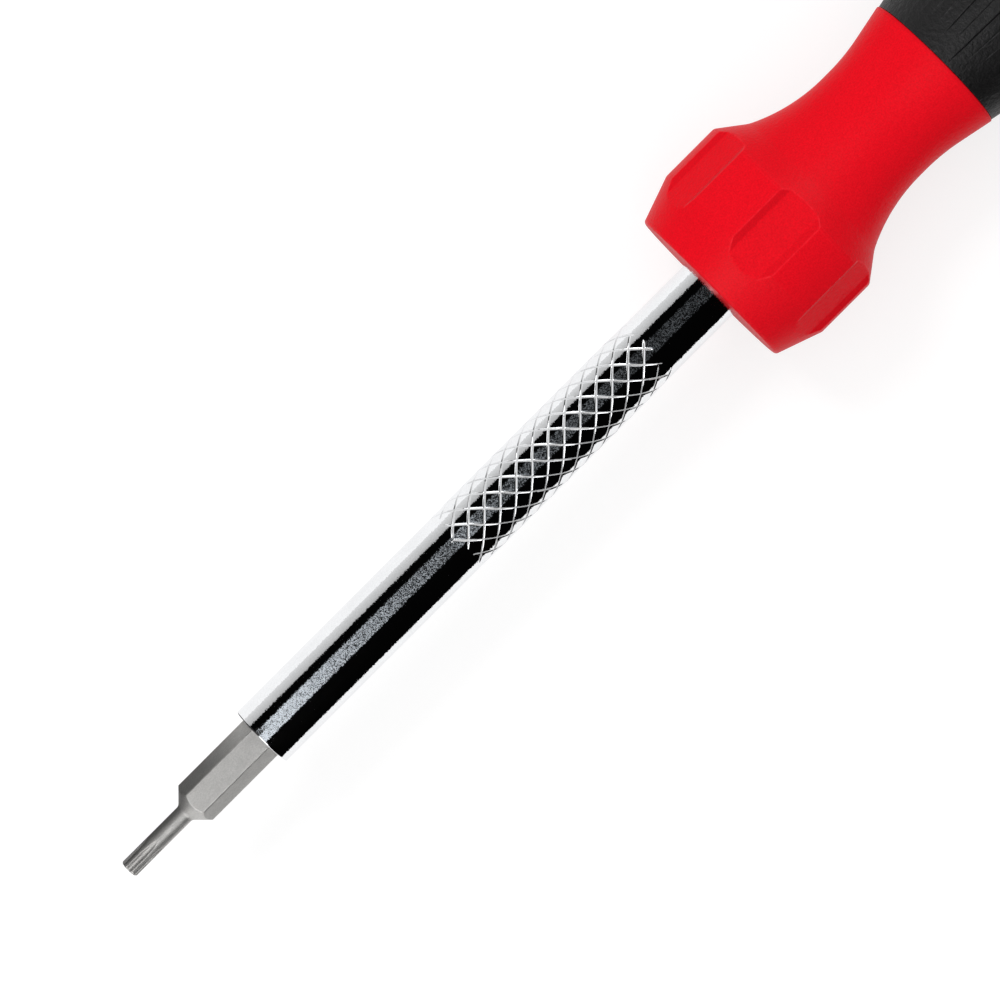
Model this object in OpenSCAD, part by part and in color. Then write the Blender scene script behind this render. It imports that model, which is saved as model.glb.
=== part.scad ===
// Pocket screwdriver: a magnetic bit socket on a knurled shaft, a waisted handle with a soft grip,
// and a captive cartridge of spare bits behind a free-turning palm cap.
// Millimetres. The tool lies along X, tip towards -X, and rests on its grip with a collar pocket down.
// Every piece is drawn standing along Z, with zero at the collar's front face, and then laid down.

/* [Bits] */
// Width across the flats of every hex bit
bit_af = 4; // [3.6:0.1:4.4]
// Length of every bit
bit_len = 28; // [26:0.5:32]
// How far the driver bit stands out of the shaft
bit_out = 17.6; // [15:0.1:20]
// Diameter of the driver bit's round stem
stem_d = 1.83; // [1.5:0.01:2.6]
// Length of the stem in front of the hex, tip included
stem_len = 7.5; // [6:0.05:9]
// Length of the flutes on a six-lobe tip, up to their pointed ends
flute_len = 4; // [2:0.1:5]
// Turn of the socket and its bit against the collar pockets, in degrees
socket_roll = -3; // [-15:1:15]

/* [Shaft] */
// Diameter of the shaft
shaft_d = 6.5; // [6.2:0.1:8]
// Length of the shaft in front of the collar
shaft_out = 59; // [50:0.5:80]
// Length of the shaft inside the handle
shaft_in = 38; // [30:0.5:42]
// Length of the flatted tail that keeps the shaft from turning
tail_len = 20; // [10:0.5:28]
// Depth of each flat on the tail
tail_flat = 0.6; // [0.3:0.05:1]
// Diameter of the socket magnet
magnet_d = 3.6; // [3:0.1:3.8]
// Thickness of the socket magnet
magnet_t = 2.5; // [1.5:0.1:4]
// Distance from the shaft's front end to the knurl
knurl_pos = 25.7; // [20:0.1:30]
// Length of the knurled band
knurl_len = 25.1; // [15:0.1:28]
// Height of the knurl above the shaft
knurl_h = 0.15; // [0.12:0.01:0.3]
// Depth of the knurl's grooves
knurl_cut = 0.08; // [0.03:0.01:0.09]
// Number of grooves each way round the knurl
knurl_starts = 10; // [10:1:14]

/* [Handle] */
// Diameter of the collar
collar_d = 20.5; // [19.5:0.1:24]
// Diameter of the collar's front face
collar_face_d = 17.3; // [14:0.1:19]
// Length of the cone between the front face and the collar
collar_cone = 4.55; // [3:0.05:6]
// Width of the bevel round the front face
face_bevel = 0.3; // [0.1:0.05:0.8]
// Distance from the front face to the collar's rear edge
collar_len = 10.75; // [10:0.05:12]
// Slope of the shoulder behind the collar, in degrees
shoulder_angle = 37; // [30:1:45]
// Number of pockets round the collar
pocket_count = 6; // [4:2:8]
// Width of a pocket's flat floor
pocket_w = 3.6; // [2:0.1:4.5]
// Depth of a pocket's flat floor below the collar's surface
pocket_depth = 0.6; // [0.4:0.05:1]
// Slope of a pocket's side walls against its floor, in degrees
pocket_slope = 20; // [12:1:60]
// Diameter of the waist
waist_d = 12.8; // [11:0.1:14]
// Distance from the front face to the waist
waist_pos = 21.2; // [20:0.1:24]
// Length of the straight waist
waist_len = 0.85; // [0.2:0.05:2]
// Radius of the hollow curve between the collar and the waist
waist_front_r = 17.3; // [15:0.1:22]
// Radius of the hollow curve behind the waist
waist_rear_r = 20; // [15:0.5:26]
// Angle at which the handle widens towards the grip
flare_angle = 11.5; // [9:0.5:13]
// Length of the bare front of the handle, up to the grip's seam
front_len = 29.55; // [28.5:0.05:34]

/* [Grip] */
// Thickness of the rubber sleeve
sleeve_t = 0.8; // [0.6:0.05:1.2]
// Thickness of the handle's wall round the cartridge
core_wall = 1; // [0.8:0.05:1.6]
// Step down from the bare handle to the sleeve at the seam
seam_step = 0.12; // [0.05:0.01:0.3]
// Radius of the curve that ends the flare
swell_r = 60; // [40:1:70]
// Length of the bare rim at the handle's rear
rim_len = 3.5; // [3:0.1:6]
// Step down from the sleeve to the rim
rim_step = 0.3; // [0.1:0.05:0.5]

/* [Cartridge] */
// Thickness of the wall between two bit channels
channel_wall = 0.6; // [0.4:0.05:1]
// How much narrower a channel's mouth is than the bit
channel_lip = 0.26; // [0.1:0.02:0.4]
// Thickness of the piston flange at the front
piston_t = 1.6; // [1:0.1:3]
// How far the piston reaches past the mouth ring's bore
piston_lip = 0.3; // [0.2:0.05:0.6]
// Length of the hub between the bits and the mouth
hub_len = 7; // [5:0.1:10]
// Length of the mouth ring
ring_len = 2.5; // [2:0.1:4]
// How far the mouth ring's seat is wider than the cartridge space
ring_seat = 0.4; // [0.2:0.05:0.5]
// Thickness of the seal ring's cord
seal_d = 1.1; // [0.8:0.05:1.4]
// Thickness of the hub's rear flange
flange_t = 1; // [0.8:0.1:2]
// How far the hub's rear flange reaches past the mouth ring's bore
flange_lip = 0.7; // [0.4:0.05:0.8]

/* [Cap] */
// Diameter of the palm cap
cap_d = 18.8; // [18.4:0.1:19.6]
// Length of the palm cap
cap_len = 9.2; // [8.6:0.1:14]
// Rounding of the cap's rear edge
cap_round = 4; // [2:0.1:5]
// Thickness of the cap's inner wall
cap_web = 3; // [2:0.1:3.4]
// Number of shallow scallops round the cap
scallop_count = 12; // [6:1:18]
// Depth of a scallop
scallop_depth = 0.3; // [0.1:0.05:0.5]
// Diameter of the post that the cap turns on
post_d = 6; // [5:0.1:7]
// Thickness of the thrust washer
washer_t = 0.5; // [0.3:0.05:0.8]
// Diameter of the thrust washer
washer_d = 12; // [9:0.1:15]
// Thread diameter of the cap screw
screw_d = 2.5; // [2:0.1:3]
// Length of the cap screw under its head
screw_len = 9; // [6:0.5:12]
// Diameter of the cap screw's head
screw_head_d = 8; // [7.6:0.1:9]
// Thickness of the cap screw's head
screw_head_t = 1.5; // [1:0.1:1.6]
// Diameter of the cap cover
cover_d = 12; // [10.5:0.1:13]
// Thickness of the cap cover
cover_t = 1.2; // [0.8:0.1:1.4]
// Width of the ledge that the cover rests on
cover_ledge = 0.6; // [0.4:0.05:0.8]
// How far the cover lies below the cap's rear end
cover_sink = 0.35; // [0.2:0.05:0.5]

/* [Fits] */
// Gap round pieces that are pressed or moulded together
press_gap = 0.02; // [0.01:0.01:0.04]
// Gap round pieces that run in one another
run_gap = 0.06; // [0.04:0.01:0.09]
// Gap between end faces that rest on one another
seat_gap = 0.1; // [0.05:0.01:0.2]
// Gap round the cartridge in the handle
slide_gap = 0.2; // [0.15:0.01:0.3]
// Gap between the handle's rear and the palm cap
cap_gap = 0.4; // [0.3:0.05:0.8]

/* [Hidden] */
$fn = 48;

// Length by which a cutting shape passes the face that it cuts
cut = 1;

// Bits and socket
bit_r = bit_af / 2 / cos(30);
bit_chamfer = 0.35;
tip_chamfer = 0.15;
stem_r = stem_d / 2;
// Radius of a six-lobe tip in its valleys, as a share of its outer radius, as the standard has it
lobe_valley = 0.72;
shaft_r = shaft_d / 2;
shaft_front = -shaft_out;
bit_tip = shaft_front - bit_out;
bit_tail = bit_tip + bit_len;
socket_r = (bit_af / 2 + run_gap) / cos(30);
socket_lead = 0.3;
shaft_edge = 0.25;
magnet_front = bit_tail + seat_gap;
knurl_front = shaft_front + knurl_pos;
knurl_root = 0.5;

// Handle outline, from the collar to the grip
collar_face_r = collar_face_d / 2;
collar_r = collar_d / 2;
bevel_r = collar_face_r + face_bevel * (collar_r - collar_face_r) / collar_cone;
waist_r = waist_d / 2;
waist_end = waist_pos + waist_len;
spine_r = (waist_r + shaft_r) / 2;
flare_from = waist_end + waist_rear_r * sin(flare_angle);
flare_from_r = waist_r + waist_rear_r * (1 - cos(flare_angle));
front_end_r = flare_from_r + (front_len - flare_from) * tan(flare_angle);
seam_r = front_end_r - seam_step;

// Rings round the axis in the handle's rear, from the bits outwards
spare_count = 6;
channel_r = bit_r + run_gap;
spare_ring_r = 2 * channel_r + channel_wall;
spare_reach = norm([spare_ring_r + bit_af / 2, bit_r / 2]);
channel_mouth = bit_af - channel_lip;
carrier_r = norm([spare_ring_r + sqrt(channel_r ^ 2 - (channel_mouth / 2) ^ 2), channel_mouth / 2]);
ring_bore_r = spare_reach + slide_gap;
piston_r = ring_bore_r + piston_lip;
cavity_r = piston_r + slide_gap;
core_r = cavity_r + core_wall;
grip_r = core_r + sleeve_t;
rim_r = grip_r - rim_step;
ring_seat_r = cavity_r + ring_seat;
hub_r = ring_bore_r - slide_gap;
flange_r = ring_bore_r + flange_lip;

// Grip outline and the stations along the handle's rear
swell_rise = swell_r * (1 - cos(flare_angle));
flare_to_r = grip_r - swell_rise;
flare_to = front_len + (flare_to_r - seam_r) / tan(flare_angle);
swell_pos = flare_to + swell_r * sin(flare_angle);
cavity_front = max(swell_pos, shaft_in) + core_wall;
piston_front = cavity_front + cap_gap;
piston_rear = piston_front + piston_t;
spare_front = piston_rear + ring_len + seat_gap;
hub_front = spare_front + bit_len + seat_gap;
mouth = hub_front + hub_len;
rim_front = mouth - rim_len;
ring_front = mouth - ring_len;
flange_front = mouth + seat_gap;
flange_rear = flange_front + flange_t;

// Cap stations and radii
post_r = post_d / 2;
washer_front = flange_rear + press_gap;
web_front = washer_front + washer_t + run_gap;
web_rear = web_front + cap_web;
post_rear = web_rear + seat_gap;
head_front = post_rear + press_gap;
cap_front = mouth + cap_gap;
cap_rear = cap_front + cap_len;
cap_r = cap_d / 2;
skirt_r = flange_r + slide_gap;
cover_r = cover_d / 2;
cover_rear = cap_rear - cover_sink;
cover_front = cover_rear - cover_t;
scallop_r = 2.2;

// Seat in the lying position, on the grip or on the upper edges of a pocket's walls
pocket_floor_r = collar_r - pocket_depth;
wall_plane = pocket_floor_r * cos(pocket_slope) - pocket_w / 2 * sin(pocket_slope);
pocket_edge = wall_plane * cos(pocket_slope) + sqrt(collar_r ^ 2 - wall_plane ^ 2) * sin(pocket_slope);
rest_r = max(grip_r, pocket_edge);
middle = (bit_tip + cap_rear) / 2;

// Lays a piece that stands along Z down along X, with its local X pointing at the ground
module lay_down() {
    translate([-middle, 0, rest_r])
        rotate([0, 90, 0])
            children();
}

// Hex prism with flats facing local X
module hex(r, h) {
    rotate(30)
        cylinder(r = r, h = h, $fn = 6);
}

// Hex shank behind a stem of radius r, with a cone at the front and a chamfer at the tail
module hex_shank(r) {
    outer_r = bit_r + bit_chamfer;
    intersection() {
        translate([0, 0, stem_len])
            hex(bit_r, bit_len - stem_len);
        rotate_extrude()
            polygon([[0, stem_len - cut], [r, stem_len - cut], [r, stem_len],
                [outer_r, stem_len + outer_r - r], [outer_r, bit_len - 2 * bit_chamfer],
                [bit_r - bit_chamfer, bit_len], [0, bit_len]]);
    }
}

// Round stem with a chamfered tip
module stem(r) {
    rotate_extrude()
        polygon([[0, 0], [r - tip_chamfer, 0], [r, tip_chamfer], [r, stem_len + tip_chamfer],
            [0, stem_len + tip_chamfer]]);
}

// Six flutes that turn the front of a stem of radius r into a six-lobe tip.
// Their rear halves taper, and come to a point where the taper leaves the stem.
module lobe_flutes(r) {
    valley_r = lobe_valley * r;
    flute_r = lobe_valley * r / 2;
    straight = flute_len / 2;
    taper = (flute_len - straight) * flute_r / (r - valley_r);
    for (a = [0:60:300])
        rotate(a)
            translate([valley_r + flute_r, 0, -cut]) {
                cylinder(r = flute_r, h = straight + cut);
                translate([0, 0, straight + cut])
                    cylinder(r1 = flute_r, r2 = 0, h = taper);
            }
}

// Complete six-lobe bit with its tip at zero
module six_lobe_bit(r) {
    difference() {
        stem(r);
        lobe_flutes(r);
    }
    hex_shank(r);
}

// Bit with a stem of radius r behind a tip of length tip_h, which is the child shape
module shaped_bit(r, tip_h) {
    children();
    translate([0, 0, tip_h])
        cylinder(r = r, h = stem_len + tip_chamfer - tip_h);
    hex_shank(r);
}

// Place of spare bit number i in the carrier
module stowed(i) {
    lay_down()
        rotate(i * 360 / spare_count)
            translate([spare_ring_r, 0, spare_front])
                children();
}

// Band with crossed helical grooves that stands on the shaft, as rows of raised diamond cells.
// Grid points with an even sum of row and column are groove crossings, the others are cell middles.
module knurl_band() {
    cols = 2 * knurl_starts;
    rows = 2 * round(knurl_len * knurl_starts / (PI * shaft_d));
    land = 0.76;
    top_r = shaft_r + knurl_h;
    groove_r = top_r - knurl_cut;
    root_r = shaft_r - knurl_root;
    function at(r, row, col) =
        [r * cos(col * 360 / cols), r * sin(col * 360 / cols), knurl_front + row * knurl_len / rows];
    function is_cell(row, col) = row > 0 && row < rows && (row + col) % 2 == 1;
    function grid(row, col) = row * cols + (col + cols) % cols;
    grid_points = [for (row = [0:rows]) for (col = [0:cols - 1])
        at(is_cell(row, col) ? top_r : groove_r, row, col)];
    cells = [for (row = [1:rows - 1]) for (i = [0:knurl_starts - 1]) [row, 2 * i + 1 - row % 2]];
    // Corners of a cell, clockwise from outside: left, rear, right and front
    sides = [[0, -1], [1, 0], [0, 1], [-1, 0]];
    cell_points = [for (c = cells) for (s = sides) at(top_r, c[0] + land * s[0], c[1] + land * s[1])];
    root_points = [for (row = [0, rows]) for (col = [0:cols - 1]) at(root_r, row, col)];
    first_cell = len(grid_points);
    front_root = first_cell + len(cell_points);
    rear_root = front_root + cols;
    cell_faces = [for (n = [0:len(cells) - 1]) for (k = [0:3])
        let (row = cells[n][0], col = cells[n][1], next = (k + 1) % 4,
            a = first_cell + 4 * n + k, b = first_cell + 4 * n + next,
            ga = grid(row + sides[k][0], col + sides[k][1]),
            gb = grid(row + sides[next][0], col + sides[next][1]))
        each [[grid(row, col), a, b], [a, ga, gb], [a, gb, b]]];
    edge_faces = [for (i = [0:knurl_starts - 1])
        let (f = 2 * i + 1, r = 2 * i + 1 - rows % 2)
        each [[grid(0, f), grid(0, f - 1), grid(1, f)], [grid(0, f), grid(1, f), grid(0, f + 1)],
            [grid(rows, r), grid(rows, r + 1), grid(rows - 1, r)],
            [grid(rows, r), grid(rows - 1, r), grid(rows, r - 1)]]];
    ring_faces = [for (col = [0:cols - 1])
        let (next = (col + 1) % cols)
        each [[grid(0, col), grid(0, next), front_root + next],
            [grid(0, col), front_root + next, front_root + col],
            [grid(rows, next), grid(rows, col), rear_root + col],
            [grid(rows, next), rear_root + col, rear_root + next],
            [front_root + col, front_root + next, rear_root + next],
            [front_root + col, rear_root + next, rear_root + col]]];
    polyhedron(concat(grid_points, cell_points, root_points), concat(cell_faces, edge_faces, ring_faces));
}

// Two side cuts that leave the flats on a shaft or bore of radius r, over the shaft's tail
module tail_cuts(r, h) {
    for (side = [0, 180])
        rotate(side)
            translate([-2 * r, r - tail_flat, shaft_in - tail_len])
                cube([4 * r, 2 * r, h]);
}

// Half outline of the handle's bare front: cone, collar, shoulder, hollow waist and flare
module front_profile() {
    difference() {
        polygon([[0, 0], [collar_face_r - face_bevel, 0], [bevel_r, face_bevel], [collar_r, collar_cone],
            [collar_r, waist_pos], [0, waist_pos]]);
        translate([waist_r + waist_front_r, waist_pos])
            circle(r = waist_front_r, $fn = 180);
    }
    polygon([[0, collar_len], [collar_r, collar_len], [0, collar_len + collar_r / tan(shoulder_angle)]]);
    translate([0, waist_pos])
        square([waist_r, waist_len]);
    difference() {
        translate([0, waist_end])
            square([flare_from_r, flare_from - waist_end]);
        translate([waist_r + waist_rear_r, waist_end])
            circle(r = waist_rear_r, $fn = 180);
    }
    polygon([[0, flare_from], [flare_from_r, flare_from], [front_end_r, front_len], [0, front_len]]);
}

// Cutter for one pocket, whose walls go on with the same slope past the collar's surface
module pocket_cutter() {
    out = pocket_depth + cut;
    half_out = pocket_w / 2 + out / tan(pocket_slope);
    linear_extrude(waist_pos)
        polygon([[pocket_floor_r, -pocket_w / 2], [pocket_floor_r + out, -half_out],
            [pocket_floor_r + out, half_out], [pocket_floor_r, pocket_w / 2]]);
}

// Half outline of the grip from the seam to the rim, drawn in by depth
module grip_profile(depth) {
    polygon([[0, front_len], [seam_r - depth, front_len], [flare_to_r - depth, flare_to], [0, flare_to]]);
    intersection() {
        translate([0, flare_to])
            square([grip_r, swell_pos - flare_to]);
        translate([grip_r - depth - swell_r, swell_pos])
            circle(r = swell_r, $fn = 360);
    }
    translate([0, swell_pos])
        square([grip_r - depth, rim_front - swell_pos]);
}

module driver_bit() {
    color("gray")
        lay_down()
            translate([0, 0, bit_tip])
                rotate(socket_roll)
                    six_lobe_bit(stem_r);
}

module shaft() {
    color("silver")
        lay_down()
            difference() {
                union() {
                    rotate_extrude()
                        polygon([[0, shaft_front], [shaft_r - shaft_edge, shaft_front],
                            [shaft_r, shaft_front + shaft_edge], [shaft_r, shaft_in], [0, shaft_in]]);
                    knurl_band();
                }
                tail_cuts(shaft_r, tail_len + cut);
                translate([0, 0, shaft_front - cut])
                    rotate(socket_roll)
                        hex(socket_r, bit_tail - shaft_front + cut);
                translate([0, 0, shaft_front - cut])
                    cylinder(r = magnet_d / 2 + press_gap, h = magnet_front + magnet_t - shaft_front + cut);
                translate([0, 0, shaft_front])
                    cylinder(r1 = socket_r + socket_lead, r2 = socket_r, h = socket_lead);
            }
}

module socket_magnet() {
    color("dimgray")
        lay_down()
            translate([0, 0, magnet_front])
                cylinder(r = magnet_d / 2, h = magnet_t);
}

module handle_body() {
    color("red")
        lay_down()
            difference() {
                rotate_extrude() {
                    front_profile();
                    grip_profile(sleeve_t);
                    translate([0, rim_front])
                        square([rim_r, rim_len]);
                    square([spine_r, mouth]);
                }
                for (i = [0:pocket_count - 1])
                    rotate(i * 360 / pocket_count)
                        pocket_cutter();
                difference() {
                    translate([0, 0, -cut])
                        cylinder(r = shaft_r + press_gap, h = shaft_in + press_gap + cut);
                    tail_cuts(shaft_r + press_gap, tail_len + cut);
                }
                translate([0, 0, cavity_front])
                    cylinder(r = cavity_r, h = mouth - cavity_front + cut);
                translate([0, 0, ring_front])
                    cylinder(r = ring_seat_r, h = ring_len + cut);
            }
}

module grip_sleeve() {
    color([0.12, 0.12, 0.13])
        lay_down()
            rotate_extrude()
                difference() {
                    grip_profile(0);
                    grip_profile(sleeve_t - press_gap);
                    translate([0, front_len])
                        square([grip_r, press_gap]);
                    translate([0, rim_front - press_gap])
                        square([grip_r + cut, press_gap + cut]);
                }
}

module mouth_ring() {
    color("dimgray")
        lay_down()
            rotate_extrude()
                translate([ring_bore_r, ring_front + press_gap])
                    square([ring_seat_r - press_gap - ring_bore_r, ring_len - press_gap]);
}

module cartridge_carrier() {
    seal_r = ring_bore_r - run_gap - seal_d / 2;
    seal_pos = mouth - ring_len / 2;
    groove_w = seal_d + 2 * press_gap;
    color("dimgray")
        lay_down()
            difference() {
                rotate_extrude()
                    difference() {
                        polygon([[0, piston_front], [piston_r, piston_front], [piston_r, piston_rear],
                            [carrier_r, piston_rear], [carrier_r, hub_front], [hub_r, hub_front],
                            [hub_r, flange_front], [flange_r, flange_front], [flange_r, flange_rear],
                            [post_r, flange_rear], [post_r, post_rear], [0, post_rear]]);
                        translate([seal_r - seal_d / 2 - press_gap, seal_pos - groove_w / 2])
                            square([seal_d + cut, groove_w]);
                    }
                for (i = [0:spare_count - 1])
                    rotate(i * 360 / spare_count)
                        translate([spare_ring_r, 0, spare_front - seat_gap])
                            cylinder(r = channel_r, h = bit_len + 2 * seat_gap);
                translate([0, 0, post_rear - screw_len - seat_gap])
                    cylinder(r = screw_d / 2 + press_gap, h = screw_len + seat_gap + cut);
            }
}

module spare_bit_cross() {
    cross_r = 1.3;
    point_r = 0.45;
    wing = 0.5;
    tip_h = 3;
    flute_tilt = 14;
    color("gray")
        stowed(0)
            difference() {
                shaped_bit(cross_r, tip_h)
                    cylinder(r1 = point_r, r2 = cross_r, h = tip_h);
                for (a = [0:90:270])
                    rotate(a)
                        translate([wing / 2, wing / 2, 0])
                            rotate(flute_tilt, [-1, 1, 0])
                                translate([0, 0, -tip_h])
                                    cube([2 * cross_r, 2 * cross_r, 2 * tip_h + stem_len]);
            }
}

module spare_bit_slotted() {
    blade_r = 1.25;
    blade_t = 0.45;
    tip_h = 3.5;
    color("gray")
        stowed(1)
            shaped_bit(blade_r, tip_h)
                intersection() {
                    cylinder(r = blade_r, h = tip_h + tip_chamfer);
                    translate([0, 2 * blade_r, 0])
                        rotate([90, 0, 0])
                            linear_extrude(4 * blade_r)
                                polygon([[-blade_t / 2, 0], [blade_t / 2, 0], [blade_t / 2, blade_t],
                                    [2 * blade_r, 2 * tip_h], [-2 * blade_r, 2 * tip_h],
                                    [-blade_t / 2, blade_t]]);
                }
}

module spare_bit_six_lobe() {
    lobe_r = 1.36;
    color("gray")
        stowed(2)
            six_lobe_bit(lobe_r);
}

module spare_bit_hex() {
    tip_r = 1.15;
    color("gray")
        stowed(3)
            shaped_bit(tip_r + tip_chamfer, flute_len)
                hex(tip_r, flute_len + tip_chamfer);
}

module spare_bit_square() {
    tip_r = 1.2;
    color("gray")
        stowed(4)
            shaped_bit(tip_r + tip_chamfer, flute_len)
                rotate(45)
                    cylinder(r = tip_r, h = flute_len + tip_chamfer, $fn = 4);
}

module spare_bit_tri_wing() {
    wing = 0.7;
    wing_r = 1.2;
    tip_h = 2.5;
    color("gray")
        stowed(5)
            shaped_bit(wing_r + tip_chamfer, tip_h)
                linear_extrude(tip_h + tip_chamfer)
                    intersection() {
                        circle(r = wing_r);
                        for (a = [0, 120, 240])
                            rotate(a)
                                translate([-wing / 2, -wing / 2])
                                    square([2 * wing_r, wing]);
                    }
}

module seal_ring() {
    color("black")
        lay_down()
            rotate_extrude()
                translate([ring_bore_r - run_gap - seal_d / 2, mouth - ring_len / 2])
                    circle(d = seal_d);
}

module thrust_washer() {
    color("white")
        lay_down()
            translate([0, 0, washer_front])
                difference() {
                    cylinder(d = washer_d, h = washer_t);
                    translate([0, 0, -cut])
                        cylinder(r = post_r + press_gap, h = washer_t + 2 * cut);
                }
}

module swivel_cap() {
    color("red")
        lay_down()
            difference() {
                rotate_extrude()
                    difference() {
                        union() {
                            translate([0, cap_front])
                                square([cap_r, cap_len - cap_round]);
                            translate([0, cap_front])
                                square([cap_r - cap_round, cap_len]);
                            intersection() {
                                translate([cap_r - cap_round, cap_rear - cap_round])
                                    circle(r = cap_round);
                                translate([0, cap_front])
                                    square([cap_r, cap_len]);
                            }
                        }
                        translate([0, cap_front - cut])
                            square([skirt_r, web_front - cap_front + cut]);
                        translate([0, cap_front])
                            square([post_r + run_gap, cap_len]);
                        translate([0, web_rear])
                            square([cover_r - cover_ledge, cap_len]);
                        translate([0, cover_front - press_gap])
                            square([cover_r + press_gap, cap_len]);
                    }
                for (i = [0:scallop_count - 1])
                    rotate(i * 360 / scallop_count)
                        translate([cap_r + scallop_r - scallop_depth, 0, cap_front + cap_gap])
                            cylinder(r = scallop_r, h = cap_len);
            }
}

module cap_screw() {
    recess_w = screw_d / 3;
    color("silver")
        lay_down()
            difference() {
                rotate_extrude()
                    polygon([[0, post_rear - screw_len], [screw_d / 2, post_rear - screw_len],
                        [screw_d / 2, head_front], [screw_head_d / 2, head_front],
                        [screw_head_d / 2, head_front + screw_head_t / 2],
                        [screw_head_d / 4, head_front + screw_head_t], [0, head_front + screw_head_t]]);
                for (a = [0, 90])
                    rotate(a)
                        translate([-screw_d / 2, -recess_w / 2, head_front + screw_head_t / 2])
                            cube([screw_d, recess_w, screw_head_t]);
            }
}

module cap_cover() {
    dish_r = 4 * cover_d;
    dish_depth = cover_t / 4;
    color([0.12, 0.12, 0.13])
        lay_down()
            rotate_extrude()
                intersection() {
                    difference() {
                        translate([0, cover_front])
                            square([cover_r, cover_t]);
                        translate([0, cover_rear + dish_r - dish_depth])
                            circle(r = dish_r, $fn = 720);
                    }
                    square([cover_r, cap_rear]);
                }
}

driver_bit();
shaft();
socket_magnet();
handle_body();
grip_sleeve();
mouth_ring();
cartridge_carrier();
spare_bit_cross();
spare_bit_slotted();
spare_bit_six_lobe();
spare_bit_hex();
spare_bit_square();
spare_bit_tri_wing();
seal_ring();
thrust_washer();
swivel_cap();
cap_screw();
cap_cover();
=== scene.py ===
"""Looks of the pocket screwdriver, for Blender 4.5.

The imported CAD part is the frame. The pieces that show get finer meshes here, every surface gets
its own material, and the stage repeats the photograph's view and light.
"""

import math

import bpy
import numpy as np
from mathutils import Matrix, Vector


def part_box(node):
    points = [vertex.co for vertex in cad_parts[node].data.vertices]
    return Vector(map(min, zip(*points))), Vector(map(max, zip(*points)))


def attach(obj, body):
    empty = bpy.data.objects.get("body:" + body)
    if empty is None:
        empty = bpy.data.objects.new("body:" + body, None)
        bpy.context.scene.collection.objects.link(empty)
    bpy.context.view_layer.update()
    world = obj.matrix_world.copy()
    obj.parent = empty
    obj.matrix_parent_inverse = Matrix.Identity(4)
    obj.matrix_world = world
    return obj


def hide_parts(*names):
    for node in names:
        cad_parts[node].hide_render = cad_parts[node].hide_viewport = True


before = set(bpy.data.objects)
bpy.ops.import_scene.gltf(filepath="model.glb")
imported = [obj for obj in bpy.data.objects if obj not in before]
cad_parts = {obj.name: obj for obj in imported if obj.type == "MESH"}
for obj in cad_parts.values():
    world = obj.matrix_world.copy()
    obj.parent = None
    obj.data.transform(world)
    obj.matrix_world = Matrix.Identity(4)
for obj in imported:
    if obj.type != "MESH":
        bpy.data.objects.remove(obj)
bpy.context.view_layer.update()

# Sizes in millimetres, the main ones as the part's source has them. Stations along the tool are counted
# from the collar's front face and grow towards the palm cap.
MM = 0.001
AXIS_HEIGHT = (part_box("shaft")[0].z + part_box("shaft")[1].z) / 2
FACE_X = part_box("handle_body")[0].x

BIT_FLAT = 4.0
BIT_LENGTH = 28.0
BIT_TIP = -76.6
BIT_ROLL = math.radians(3)
BIT_CHAMFER = 0.15
BIT_EDGE = 0.03
STEM_RADIUS = 0.915
STEM_LENGTH = 7.5
STEM_ROUND = 0.2
FLUTE_LENGTH = 4.0
LOBE_VALLEY_SHARE = 0.72
LOBE_ROUND = 0.02
KEY_INSET = 0.15
TAIL_CHAMFER = 0.35
TAIL_ROUND = 0.06
SPARE_RING = 5.3388
SPARE_TIPS = 53.6414

SHAFT_RADIUS = 3.25
SHAFT_FRONT = -59.0
SHAFT_REAR = 38.0
SHAFT_EDGE = 0.1
SHAFT_REAR_EDGE = 0.3
SHAFT_REAR_FACE = 2.5
SHAFT_STEP = 1.2
SOCKET_FLAT = 4.12
SOCKET_DEPTH = 10.4
SOCKET_LEAD = 0.28
SOCKET_MOUTH = 2.85
KNURL_FRONT = -33.7
KNURL_REAR = -7.5
KNURL_RISE = 0.06
KNURL_RISE_LENGTH = 4.0
KNURL_STARTS = 10
KNURL_PITCH = 2.09
KNURL_TURN = math.radians(10.5)
KNURL_STATION = -27.13
KNURL_MARGIN = 0.2
GROOVE_SPACING = math.sqrt(0.5) * KNURL_PITCH
GROOVE_HALF_WIDTH = 0.12
GROOVE_DEPTH = 0.09
GROOVE_END = 0.4
GROOVE_UNEVEN = 0.15
# Steps of the knurl's lattice from one groove to the next, as shares of their spacing.
KNURL_STEPS = np.array([0, 0.03, 0.06, 0.085, 0.11, 0.24, 0.41, 0.59, 0.76, 0.89, 0.915, 0.94, 0.97])

COLLAR_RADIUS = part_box("handle_body")[1].y / MM
COLLAR_FACE_RADIUS = 8.65
COLLAR_CONE = 4.55
COLLAR_LENGTH = 10.75
COLLAR_STEP = 0.14
FACE_ROUND = 0.4
COLLAR_FRONT_ROUND = 0.8
COLLAR_REAR_ROUND = 0.6
BORE_ROUND = 0.12
SHOULDER = math.radians(37)
SHOULDER_ROUND = 3.0
POCKET_COUNT = 6
POCKET_WIDTH = 3.6
POCKET_FLOOR = 9.65
POCKET_SLOPE = math.tan(math.radians(20))
POCKET_FOOT_ROUND = 0.08
POCKET_EDGE_ROUND = 0.05
WAIST_RADIUS = 6.4
WAIST_FRONT = 21.2
WAIST_REAR = 22.05
HOLLOW_FRONT = 17.3
HOLLOW_REAR = 20.0
FLARE = math.radians(11.5)
FLARE_FROM = WAIST_REAR + HOLLOW_REAR * math.sin(FLARE)
FLARE_FROM_RADIUS = WAIST_RADIUS + HOLLOW_REAR * (1 - math.cos(FLARE))
SEAM = 29.55
SEAM_STEP = 0.12
SEAM_ROUND = 0.12
SEAM_RADIUS = FLARE_FROM_RADIUS + (SEAM - FLARE_FROM) * math.tan(FLARE)
SLEEVE = 0.8
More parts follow.
